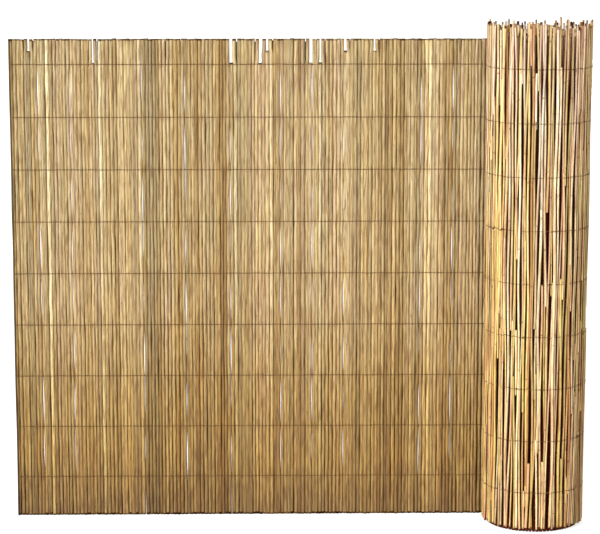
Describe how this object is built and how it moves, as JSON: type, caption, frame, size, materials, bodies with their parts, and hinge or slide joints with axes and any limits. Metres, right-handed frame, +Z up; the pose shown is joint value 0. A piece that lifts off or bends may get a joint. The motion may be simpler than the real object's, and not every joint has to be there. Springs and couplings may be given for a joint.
{
  "type": "reed fence",
  "caption": "Garden screening mat of upright reeds held by rows of thin wire, standing part flat and part rolled.",
  "frame": {"origin": "at floor level, in the middle of the whole mat's width and depth", "axes": "+X from the flat stretch's free edge to the roll, +Y away from the viewer, +Z up along the reeds"},
  "size_m": [1.132, 0.208, 1.003],
  "materials": {
    "reed": "dry straw with a slight sheen",
    "wire": "dull, lightly rusted"
  },
  "bodies": {
    "root": {"flat_mat": "reed", "bend_mat": "reed", "rolled_mat": "reed", "wire_row_1": "wire", "wire_row_2": "wire", "wire_row_3": "wire", "wire_row_4": "wire", "wire_row_5": "wire", "wire_row_6": "wire", "wire_row_7": "wire", "wire_row_8": "wire", "wire_row_9": "wire"}
  },
  "joints": []
}
